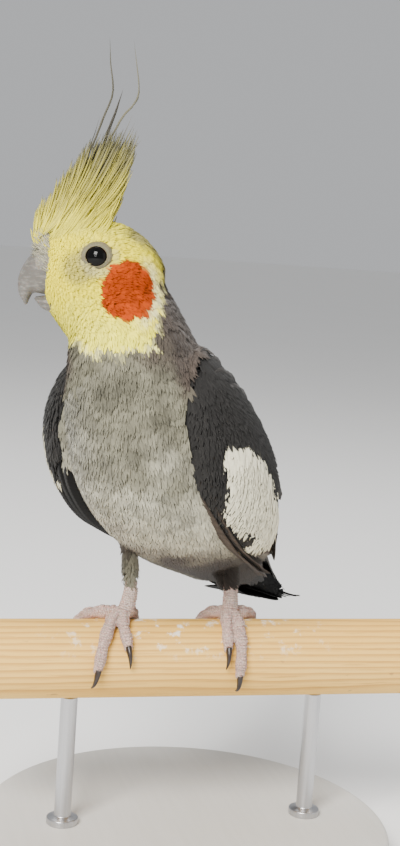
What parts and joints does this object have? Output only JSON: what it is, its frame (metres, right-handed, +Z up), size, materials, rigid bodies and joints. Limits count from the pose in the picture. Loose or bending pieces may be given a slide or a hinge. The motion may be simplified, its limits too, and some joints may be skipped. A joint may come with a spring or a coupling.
{
  "type": "cockatiel on a perch",
  "caption": "Life-size still model of an adult cockatiel with raised crest, gripping a round wooden perch held up by rods on a flat round display base.",
  "frame": {"origin": "middle of the underside of the stand's round base", "axes": "+Z up, perch along X, front toes come over the perch toward -Y, tail points back toward +Y and +X"},
  "size_m": [0.15, 0.201, 0.2375],
  "materials": {
    "face_coat": "soft matte feathers",
    "grey_coat": "soft matte feathers",
    "wing_coat": "smooth vaned feathers",
    "eye": "wet gloss",
    "bill": "satin horn",
    "bare_skin": "dry scaly skin",
    "claw": "satin horn",
    "perch_wood": "bare sanded pine",
    "stand_board": "satin pale paint",
    "stand_rod": "brushed"
  },
  "bodies": {
    "root": {"head": "face_coat", "crest": "face_coat", "crest_plume_1": "face_coat", "crest_plume_2": "face_coat", "crest_plume_3": "face_coat", "neck": "grey_coat", "trunk": "grey_coat", "leg_left": "grey_coat", "leg_right": "grey_coat", "wing_left": "wing_coat", "wing_right": "wing_coat", "wing_left_primaries": "wing_coat", "wing_right_primaries": "wing_coat", "tail": "wing_coat", "eye_left": "eye", "eye_right": "eye", "bill_upper": "bill", "bill_lower": "bill", "foot_left": "bare_skin", "foot_right": "bare_skin", "claw_left_1": "claw", "claw_left_2": "claw", "claw_left_3": "claw", "claw_left_4": "claw", "claw_right_1": "claw", "claw_right_2": "claw", "claw_right_3": "claw", "claw_right_4": "claw", "perch": "perch_wood", "stand_base": "stand_board", "stand_rod_left": "stand_rod", "stand_rod_right": "stand_rod"}
  },
  "joints": []
}
